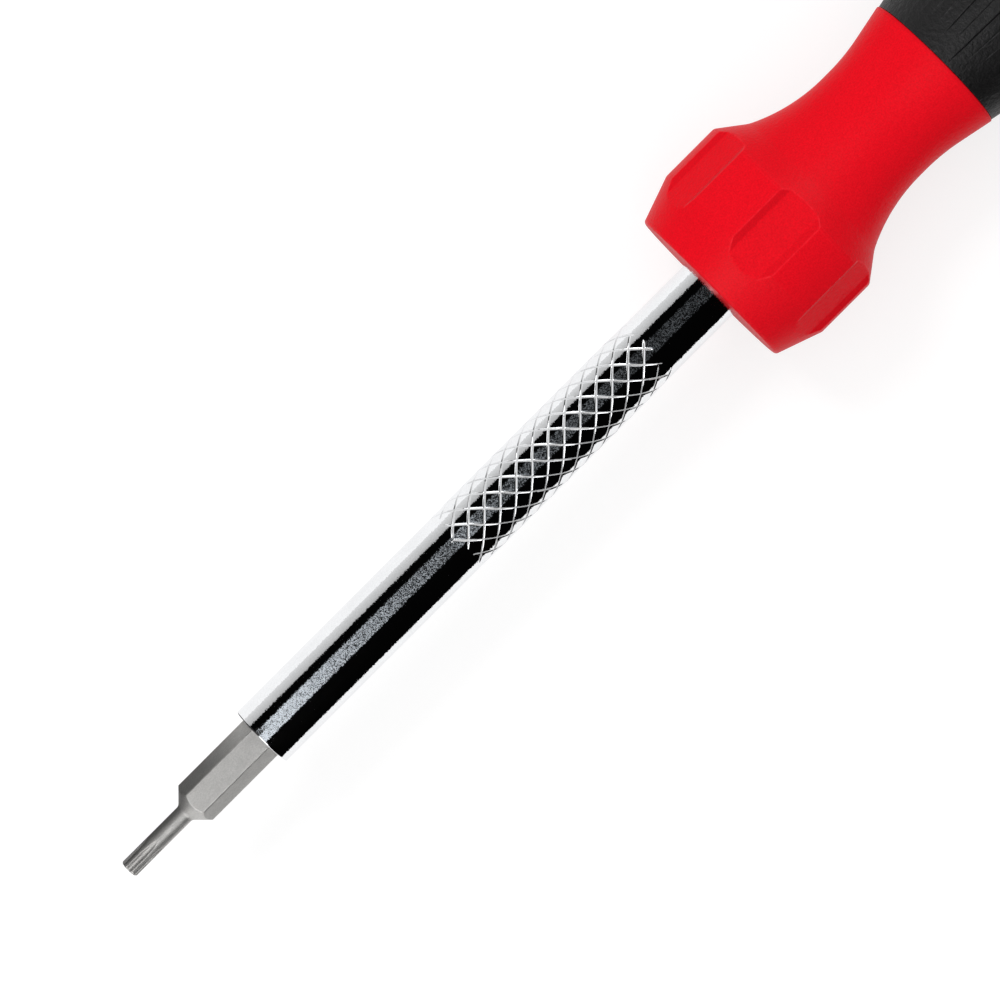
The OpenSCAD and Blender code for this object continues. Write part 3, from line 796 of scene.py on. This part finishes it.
def shaft():
    """Chromed shaft in one skin: hex socket, smooth front, knurled band, smooth rear."""
    cut_share = 0.42
    per_line = len(KNURL_STEPS)
    count = KNURL_STARTS * per_line
    first = math.floor((KNURL_FRONT - KNURL_STATION) / KNURL_PITCH)
    last = math.ceil((KNURL_REAR - KNURL_STATION) / KNURL_PITCH)
    levels = [knurl_level(k) for k in range(2 * per_line * first, 2 * per_line * last + 1)]
    front_end = KNURL_STATION + first * KNURL_PITCH - KNURL_MARGIN
    rear_start = KNURL_STATION + last * KNURL_PITCH + KNURL_MARGIN

    mouth = (SHAFT_FRONT, SOCKET_MOUTH, 0)
    front_edge = (SHAFT_FRONT, SHAFT_RADIUS, SHAFT_EDGE)
    front = outline([mouth, front_edge, (front_end, SHAFT_RADIUS, 0)], SHAFT_STEP)
    turn = zigzag(levels[0][0], levels[1][0])
    rows = socket_rows(turn) + [place(along, size, turn) for along, size in front]
    rear_edge = (SHAFT_REAR, SHAFT_RADIUS, SHAFT_REAR_EDGE)
    tail = outline([(rear_start, SHAFT_RADIUS, 0), rear_edge, (SHAFT_REAR, SHAFT_REAR_FACE, 0)], SHAFT_STEP)
    rear_turn = zigzag(levels[-1][0], levels[-2][0])
    tail_rows = [place(along, size, rear_turn) for along, size in tail]
    lattice = [place(along, size, where) for where, along, size, _ in levels]

    verts = np.concatenate([p.reshape(-1, 3) for p in rows + lattice + tail_rows]).tolist()
    number = np.arange(len(rows) * 2 * count).reshape(-1, 2 * count)
    base = number.size
    level = base + np.arange(len(levels) * count).reshape(-1, count)
    tail_number = base + level.size + np.arange(len(tail_rows) * 2 * count).reshape(-1, 2 * count)
    faces = strips(number)
    faces += strip(number[-1], zigzag(level[0], level[1]))
    plain = len(faces)
    faces += lattice_faces(level)
    knurled = len(faces)
    faces += strip(zigzag(level[-1], level[-2]), tail_number[0])
    faces += strips(tail_number)
    fill_ends(verts, faces, number[0], tail_number[-1])
    mesh = mesh_of("chromed_shaft", verts, faces)
    depth = np.concatenate([d for _, _, _, d in levels])
    for face in list(mesh.polygons)[plain:knurled]:
        face.material_index = 1 if np.mean([depth[v - base] for v in face.vertices]) > cut_share else 0
    piece(mesh, [CHROME, KNURL_CUT], "handle", "shaft")


# Handle, grip and cap


def pocketed(along, radius, turn):
    """Radius and turn of points on the handle once the collar's pockets with sloped walls are cut, and
    how far each point lies on such a wall."""
    wall_from = -0.05
    wall_full = 0.1
    cut_full = 0.06
    off = off_middle(turn, POCKET_COUNT)
    across = radius * np.sin(off)
    height = radius * np.cos(off)
    past_floor = np.abs(across) - POCKET_WIDTH / 2
    up_wall = rounded_positive(past_floor, POCKET_FOOT_ROUND) * POCKET_SLOPE
    depth = rounded_positive(height - POCKET_FLOOR - up_wall, POCKET_EDGE_ROUND)
    depth = np.where(along < WAIST_FRONT, depth, 0)
    wall = smooth_step(wall_from, wall_full, past_floor) * smooth_step(0, cut_full, depth)
    height = height - depth
    return np.hypot(across, height), turn - off + np.arctan2(across, height), wall


def pocket_turns():
    """Turns round the handle, closer together at the corners of the pockets' walls, in degrees at first."""
    floor_to = 9.6
    wall_to = 15.9
    wall_step = 0.3
    outside_from = 16
    floor = np.linspace(0, floor_to, 6)[:-1]
    wall = np.arange(floor_to, wall_to, wall_step)
    outside = np.linspace(outside_from, 180 / POCKET_COUNT, 7)
    half = np.concatenate([floor, wall, outside])
    sector = np.concatenate([-half[:0:-1], half])[1:]
    return np.radians(np.concatenate([sector + k * 360 / POCKET_COUNT for k in range(POCKET_COUNT)]))


def hollow_corners():
    """Corners of the waist: the one where the sloped shoulder meets it, and those of its two arcs."""
    shoulder_gap = 0.02
    front_middle = (WAIST_FRONT, WAIST_RADIUS + HOLLOW_FRONT)
    rear_middle = (WAIST_REAR, WAIST_RADIUS + HOLLOW_REAR)
    down = -math.pi / 2
    off = np.array([COLLAR_LENGTH, COLLAR_RADIUS]) - front_middle
    slope = np.array([math.cos(SHOULDER), -math.sin(SHOULDER)])
    reach = -off @ slope + math.sqrt((off @ slope) ** 2 + HOLLOW_FRONT ** 2 - off @ off)
    meeting = off + reach * slope
    start = math.atan2(meeting[1], meeting[0]) + shoulder_gap
    hollow = arc(front_middle, HOLLOW_FRONT, start, down, count=36)
    hollow += arc(rear_middle, HOLLOW_REAR, down, down + FLARE, count=14)[1:]
    return (*(front_middle + meeting), SHOULDER_ROUND), hollow


def flare_corners(depth):
    """Corners of the grip's flare and swell, from the seam to the straight grip, drawn in by depth."""
    seam_radius = SEAM_RADIUS - SEAM_STEP
    flare_radius = GRIP_RADIUS - SWELL * (1 - math.cos(FLARE))
    flare_to = SEAM + (flare_radius - seam_radius) / math.tan(FLARE)
    swell_middle = (flare_to + SWELL * math.sin(FLARE), GRIP_RADIUS - SWELL)
    swell = arc(swell_middle, SWELL, math.pi / 2 + FLARE, math.pi / 2, count=14)
    return [(a, r - depth, rounding) for a, r, rounding in [(SEAM, seam_radius, 0)] + swell]


def handle():
    """Red handle: pocketed collar, hollow waist, core under the grip, rim and cartridge space. Painted shade
    darkens the pockets' walls and a painted shadow lies along the seam."""
    inside_step = 6
    rear_step = 3
    fine_hollow = 8
    clean = 0.4
    sheltered = 1.0
    # Darkness of the painted shade on the pockets' walls and of the painted shadow along the seam, and where
    # that shadow runs.
    wall_painted_shade = 0.15
    seam_painted_shadow = 0.3
    painted_shadow_from = SEAM - 0.35
    painted_shadow_full = SEAM - 0.05
    painted_shadow_end = SEAM + 0.1
    bore = SHAFT_RADIUS + PRESS_GAP
    shoulder, hollow = hollow_corners()
    face = (0, (bore + COLLAR_FACE_RADIUS) / 2, 0)
    inside = [(SHAFT_REAR + PRESS_GAP, bore, 0), (0, bore, BORE_ROUND), face]
    collar = [face, (0, COLLAR_FACE_RADIUS, FACE_ROUND), (COLLAR_CONE, COLLAR_RADIUS, COLLAR_FRONT_ROUND)]
    collar += [(COLLAR_LENGTH, COLLAR_RADIUS, COLLAR_REAR_ROUND), shoulder] + hollow[:fine_hollow]
    rear = hollow[fine_hollow - 1:] + [(SEAM - clean, SEAM_RADIUS - clean * math.tan(FLARE), 0)]
    rear += [(SEAM, SEAM_RADIUS, SEAM_ROUND)] + flare_corners(SLEEVE)
    rear += [(RIM_FRONT, GRIP_RADIUS - SLEEVE, 0), (RIM_FRONT, RIM_RADIUS, RIM_EDGE)]
    rear += [(MOUTH, RIM_RADIUS, MOUTH_EDGE), (MOUTH, RING_SEAT_RADIUS, 0)]
    rear += [(RING_FRONT, RING_SEAT_RADIUS, 0), (RING_FRONT, CAVITY_RADIUS, 0)]
    rear += [(CAVITY_FRONT, CAVITY_RADIUS, 0)]
    lines = [outline(inside, inside_step)[:-1], outline(collar, COLLAR_STEP)[:-1], outline(rear, rear_step)]
    shape = np.concatenate(lines)
    along = shape[:, :1]
    radius, turned, wall = pocketed(along, shape[:, 1:], pocket_turns())
    mesh = skin("handle_shell", place(along, radius, turned))
    mark_edges(mesh, SEAM - sheltered, RIM_FRONT)
    seam = smooth_step(painted_shadow_from, painted_shadow_full, along) * (along < painted_shadow_end)
    # Painted shade on the pockets' walls and a painted shadow along the seam.
    painted_shade = np.maximum(wall_painted_shade * wall, seam_painted_shadow * seam)
    hubs = [0, 0]
    mark(mesh, "painted_shade", np.append(painted_shade.ravel(), hubs))
    piece(mesh, [RED], "handle", "handle_body")


def grip_grooves(along, end):
    """Turns round the grip, closer together at its grooves, and the share of full depth that the grooves of
    uneven strength and length have at these turns and the stations along."""
    first = math.radians(-2.2)
    steps = np.array([0, 0.025, 0.05, 0.075, 0.12, 0.3, 0.5, 0.7, 0.88, 0.925, 0.95, 0.975])
    strengths = [1.0, 0.35, 0.7, 0.12, 0.2, 0.1, 0.15, 0.12, 0.3]
    starts = [0.5, 2.0]
    start_uneven = 0.2
    start_change = 2.1
    run = 1.2
    rear_run = 2.5
    half_width = 0.07
    counted = np.concatenate([k + steps for k in range(GRIP_GROOVES)])
    turn = counted * 2 * math.pi / GRIP_GROOVES + first
    line = np.round(counted)
    kind = line.astype(int) % len(strengths)
    strength = np.choose(kind, strengths)
    start = SEAM + np.choose(np.minimum(kind, 1), starts) + start_uneven * np.sin(line * start_change)
    runs = smooth_step(start, start + run, along) * (1 - smooth_step(end - rear_run, end - run, along))
    return turn, strength * runs * (1 - smooth_step(0.0, half_width, np.abs(counted - line)))


def grip():
    """Black rubber sleeve with fine lengthwise grooves, darkened with painted shade."""
    outer_step = 0.6
    inner_step = 4
    outside = flare_corners(0)
    inside = flare_corners(SLEEVE - PRESS_GAP)
    seam = SEAM + PRESS_GAP
    end = RIM_FRONT - PRESS_GAP
    outside[0] = (seam, outside[0][1], GRIP_FRONT_EDGE)
    inside[0] = (seam, inside[0][1], 0)
    rim = [(end, GRIP_RADIUS, GRIP_REAR_EDGE), (end, GRIP_RADIUS - SLEEVE + PRESS_GAP, 0)]
    outer = outline([inside[0]] + outside + rim, outer_step)
    inner = outline([(a, r, 0) for a, r, _ in reversed(inside)], inner_step)
    turn, groove = grip_grooves(outer[:, :1], end)
    outer_points = place(outer[:, :1], outer[:, 1:] - GRIP_GROOVE_DEPTH * groove, turn)
    inner_points = place(inner[:, :1], inner[:, 1:], turn)
    mesh = skin("grip_skin", np.concatenate([outer_points, inner_points]), loop=True)
    mark_edges(mesh)
    # The grooves get painted shade.
    mark(mesh, "painted_shade", np.concatenate([groove.ravel(), np.zeros(inner_points.size // 3)]))
    piece(mesh, [BLACK_RUBBER], "handle", "grip_sleeve")


def palm_cap():
    """Red swivel cap with shallow scallops and a rounded rear."""
    step = 0.3
    per_scallop = 20
    scallop_from = CAP_FRONT + 0.4
    scallop_full = CAP_FRONT + 0.8
    seat = COVER_RADIUS + PRESS_GAP
    middle = (CAP_REAR - CAP_ROUND, CAP_RADIUS - CAP_ROUND)
    end = math.acos((seat - middle[1]) / CAP_ROUND)
    corners = [(WEB_FRONT, SKIRT_RADIUS, 0), (CAP_FRONT, SKIRT_RADIUS, SKIRT_EDGE)]
    corners += [(CAP_FRONT, CAP_RADIUS, CAP_EDGE)]
    corners += arc(middle, CAP_ROUND, math.pi / 2, math.pi / 2 - end, count=18)
    floor = COVER_FRONT - PRESS_GAP
    ledge = COVER_RADIUS - COVER_LEDGE
    corners += [(floor, seat, 0), (floor, ledge, 0), (WEB_REAR, ledge, 0)]
    corners += [(WEB_REAR, POST_BORE_RADIUS, 0), (WEB_FRONT, POST_BORE_RADIUS, 0)]
    shape = outline(corners, step)
    along = shape[:, :1]
    radius = shape[:, 1:]
    turn = around(SCALLOPS * per_scallop)
    off = off_middle(turn, SCALLOPS)
    cutter = CAP_RADIUS + SCALLOP_RADIUS - SCALLOP_DEPTH
    reach = np.sqrt(np.maximum(SCALLOP_RADIUS ** 2 - (cutter * np.sin(off)) ** 2, 0))
    wall = np.where(reach > 0, cutter * np.cos(off) - reach, 2 * CAP_RADIUS)
    depth = rounded_positive(radius - wall, SCALLOP_ROUND)
    depth = depth * smooth_step(scallop_from, scallop_full, along)
    mesh = skin("palm_cap", place(along, radius - depth, turn), loop=True)
    mark_edges(mesh)
    piece(mesh, [RED], "cap", "swivel_cap")


def cover():
    """Black disc with a shallow dish, in the end of the palm cap."""
    step = 0.4
    middle_radius = 0.1
    middle_gap = 0.002
    dish = 4 * 2 * COVER_RADIUS
    sink = (COVER_REAR - COVER_FRONT) / 4
    rim = math.sqrt(dish ** 2 - (dish - sink) ** 2)
    start = math.pi - math.asin(rim / dish)
    corners = [(COVER_FRONT, middle_radius, 0), (COVER_FRONT, COVER_RADIUS, COVER_FRONT_EDGE)]
    corners += [(COVER_REAR, COVER_RADIUS, COVER_REAR_EDGE)]
    corners += arc((COVER_REAR + dish - sink, 0), dish, start, math.pi - middle_gap, count=20)
    shape = outline(corners, step)
    mesh = skin("cap_disc", place(shape[:, :1], shape[:, 1:], around(96)))
    mark_edges(mesh)
    piece(mesh, [DARK_PLASTIC], "cap", "cap_cover")


driver_bit()
spare_bits()
shaft()
handle()
grip()
palm_cap()
cover()

CARRIED_OVER = {
    "socket_magnet": NICKEL, "mouth_ring": DARK_PLASTIC, "cartridge_carrier": DARK_PLASTIC,
    "seal_ring": BLACK_RUBBER, "thrust_washer": WHITE_NYLON, "cap_screw": ZINC,
}
for name, finish in CARRIED_OVER.items():
    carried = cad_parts[name].data
    carried.materials.clear()
    carried.materials.append(finish)


# Stage, light and camera, in metres

AMBIENT = 0.865
FLOOR_GLOW = 0.68
FLOOR_GREY = (0.38, 0.38, 0.38, 1)
FLOOR_REACH = 6.0
FLOOR_HEIGHT = -0.00005
WHITE = (1, 1, 1, 1)
COOL_WHITE = (0.88, 0.94, 1, 1)
CARDS_FRONT = FACE_X - 0.118
CARDS_REAR = FACE_X + 0.4
BIT_CARDS_FRONT = FACE_X - 0.24

# Sections of the cards across the tool, as points (y, z).
BLACK_SECTION = [(0.27, 0.186), (0.12, 0.33), (-0.12, 0.33), (-0.06, 0.16), (-0.041, 0.0)]
GREY_SECTION = [(0.27, 0.0), (0.27, 0.186)]
HANDLE_SECTION = [(0.12, 0.29), (-0.03, 0.29)]
COLLAR_SECTION = [(0.05, 0.3), (-0.07, 0.3)]
SHOULDER_CORNERS = [(0.08, 0.06), (-0.06, 0.06), (-0.06, 0.2), (0.08, 0.2)]
BIT_TOP_SECTION = [(0.02, 0.1), (-0.06, 0.1)]
BIT_SIDE_SECTION = [(-0.06, 0.1), (-0.06, 0.03)]
DARK_SECTION = [(0.004, 0.0005), (0.02, 0.0005), (0.02, 0.05), (0.012, 0.07)]

# Bars of light: where their edges are, their height, and their widths at places along the tool.
BAR_EDGES = np.arange(0.16, -0.09, -0.02)
BAR_HEIGHT = 0.3
BAR_WIDTHS = [
    (CARDS_FRONT, 0.0155), (FACE_X - 0.078, 0.0155), (FACE_X - 0.06, 0.0093), (FACE_X - 0.048, 0.0067),
    (CARDS_REAR, 0.0067),
]

KEY_PLACE = Vector((-0.02, 0.52, 0.63))
KEY_TARGET = Vector((0.01, 0, AXIS_HEIGHT))
KEY_SIZE = 0.25
KEY_POWER = 1.92

CAMERA_DISTANCE = 0.54
CAMERA_TILT = math.radians(4)
CAMERA_X = FACE_X - 0.0162
CAMERA_AIM = Vector((FACE_X - 0.0277, -0.000115, AXIS_HEIGHT))
CAMERA_SENSOR = 36
CAMERA_LENS = 5.8


def shown_rays(tree):
    """1 for the rays that show the background: straight, in gloss and through glass."""
    path = node(tree, "ShaderNodeLightPath")
    shown = path.outputs["Is Camera Ray"]
    for kind in ("Is Glossy Ray", "Is Transmission Ray"):
        both = {0: shown, 1: path.outputs[kind]}
        shown = node(tree, "ShaderNodeMath", both, operation="MAXIMUM").outputs[0]
    return shown


def stage_piece(name, verts, faces, paint):
    """Mesh object of the stage, with one material."""
    mesh = bpy.data.meshes.new(name)
    mesh.from_pydata(verts, [], faces)
    mesh.materials.append(paint)
    made = bpy.data.objects.new(name, mesh)
    bpy.context.scene.collection.objects.link(made)
    return made


def studio_world():
    """White surroundings that light the object at a plain level."""
    made = bpy.data.worlds.new("studio")
    bpy.context.scene.world = made
    made.use_nodes = True
    tree = made.node_tree
    back = tree.nodes["Background"]
    back.inputs["Color"].default_value = WHITE
    tree.links.new(spread(tree, shown_rays(tree), AMBIENT, 1.0), back.inputs["Strength"])


def studio_floor():
    """Pale floor that looks white and takes the object's shadow."""
    values = {"Base Color": FLOOR_GREY, "Roughness": 1.0, "Specular IOR Level": 0.0}
    paint, tree, shader = new_finish("floor", {**values, "Emission Color": WHITE})
    tree.links.new(spread(tree, shown_rays(tree), 0.0, FLOOR_GLOW), shader.inputs["Emission Strength"])
    sides = ((-1, -1), (1, -1), (1, 1), (-1, 1))
    corners = [(x * FLOOR_REACH, y * FLOOR_REACH, FLOOR_HEIGHT) for x, y in sides]
    stage_piece("floor", corners, [[0, 1, 2, 3]], paint)


def reflected_only(made):
    """Leaves a card of the stage to reflections alone."""
    made.visible_camera = False
    made.visible_diffuse = False
    made.visible_shadow = False
    made.visible_transmission = False


def ladder(count):
    """Faces between pairs of points, each pair next to the one before."""
    return [[2 * k, 2 * k + 1, 2 * k + 3, 2 * k + 2] for k in range(count - 1)]


def card(name, section, paint, front=CARDS_FRONT, rear=CARDS_REAR):
    """Long card that only reflections show, from its section across the tool."""
    verts = [(x, y, z) for y, z in section for x in (front, rear)]
    reflected_only(stage_piece(name, verts, ladder(len(section)), paint))


def light_bar(edge, paint):
    """Bar of light along the tool that only reflections show, narrower towards the handle."""
    verts = [(x, y, BAR_HEIGHT) for x, width in BAR_WIDTHS for y in (edge, edge - width)]
    reflected_only(stage_piece("window", verts, ladder(len(BAR_WIDTHS)), paint))


def glowing(name):
    """Card material that only glows: returns it with its tree and its emission node."""
    made = bpy.data.materials.new(name)
    made.use_nodes = True
    tree = made.node_tree
    tree.nodes.remove(tree.nodes["Principled BSDF"])
    glow = node(tree, "ShaderNodeEmission")
    tree.links.new(glow.outputs["Emission"], tree.nodes["Material Output"].inputs["Surface"])
    return made, tree, glow


def even_glow(name, strength):
    """Card material with the same glow all over."""
    made, _, glow = glowing(name)
    glow.inputs["Strength"].default_value = strength
    return made


def along_axis(tree, axis, start, end, low, high):
    """Value that goes from low to high between two places along an axis of the stage."""
    spot = node(tree, "ShaderNodeTexCoord")
    split = node(tree, "ShaderNodeSeparateXYZ", {"Vector": spot.outputs["Object"]})
    return spread(tree, split.outputs[axis], low, high, start, end)


def grey_glow():
    """Glow that gets paler towards the floor."""
    made, tree, glow = glowing("grey_card")
    fall = along_axis(tree, "Z", 0.0, GREY_SECTION[-1][1], low=0.8, high=0.5)
    tree.links.new(fall, glow.inputs["Strength"])
    return made


def window_glow():
    """Cool light that falls off steeply towards the handle."""
    steepness = 3.0
    made, tree, glow = glowing("window")
    glow.inputs["Color"].default_value = COOL_WHITE
    fall = along_axis(tree, "X", FACE_X - 0.085, FACE_X, low=1.02, high=0.47)
    curve = node(tree, "ShaderNodeMath", {0: fall, 1: steepness}, operation="POWER")
    tree.links.new(curve.outputs[0], glow.inputs["Strength"])
    return made


def cards():
    """Cards that the metal and the gloss show: a black card over the tool, with bars of light in it and a
    white card over the grip, a grey card on the left that gets paler towards the floor, two white cards
    for the collar's slopes, a white card over the bit and on its right, and a dark card on its left."""
    card("black_card", BLACK_SECTION, even_glow("black_card", strength=0.001))
    card("grey_card", GREY_SECTION, grey_glow())
    window = window_glow()
    for edge in BAR_EDGES:
        light_bar(edge, window)
    card("handle_card", HANDLE_SECTION, even_glow("handle_card", strength=2.2), front=FACE_X + 0.04)
    collar = even_glow("collar_card", strength=9.0)
    card("collar_card", COLLAR_SECTION, collar, front=FACE_X - 0.3, rear=FACE_X - 0.14)
    standing = [(FACE_X + 0.45, y, z) for y, z in SHOULDER_CORNERS]
    shoulder = even_glow("shoulder_card", strength=7.5)
    reflected_only(stage_piece("shoulder_card", standing, [[0, 1, 2, 3]], shoulder))
    bit = even_glow("bit_card", strength=2.0)
    card("bit_card", BIT_TOP_SECTION, bit, front=BIT_CARDS_FRONT, rear=FACE_X - 0.0725)
    card("bit_card", BIT_SIDE_SECTION, bit, front=BIT_CARDS_FRONT, rear=FACE_X - 0.066)
    dark = even_glow("dark_card", strength=0.05)
    card("dark_card", DARK_SECTION, dark, front=BIT_CARDS_FRONT, rear=FACE_X - 0.0618)


def key_lamp():
    """Square area lamp high on the left, which reflections don't show."""
    light = bpy.data.lights.new("key", "AREA")
    light.size = KEY_SIZE
    light.energy = KEY_POWER
    made = bpy.data.objects.new("key", light)
    bpy.context.scene.collection.objects.link(made)
    made.location = KEY_PLACE
    made.rotation_mode = "QUATERNION"
    made.rotation_quaternion = (KEY_TARGET - KEY_PLACE).to_track_quat("-Z", "Y")
    made.visible_glossy = False


def camera():
    """Camera nearly straight above, at the photograph's distance, tilt and roll, with the handle up on the
    right. The lens is given in widths of the sensor."""
    height = AXIS_HEIGHT + CAMERA_DISTANCE * math.cos(CAMERA_TILT)
    position = Vector((CAMERA_X, CAMERA_DISTANCE * math.sin(CAMERA_TILT), height))
    back = (position - CAMERA_AIM).normalized()
    along = Vector((1, 0, 0)) - back * back.x
    along.normalize()
    across = back.cross(along)
    right = (along - across) / math.sqrt(2)
    up = (along + across) / math.sqrt(2)
    data = bpy.data.cameras.new("camera")
    data.sensor_width = CAMERA_SENSOR
    data.lens = CAMERA_SENSOR * CAMERA_LENS
    made = bpy.data.objects.new("camera", data)
    bpy.context.scene.collection.objects.link(made)
    made.matrix_world = Matrix((right, up, back)).transposed().to_4x4()
    made.location = position
    bpy.context.scene.camera = made


studio_world()
studio_floor()
cards()
key_lamp()
camera()

bpy.context.scene.view_settings.view_transform = "Standard"
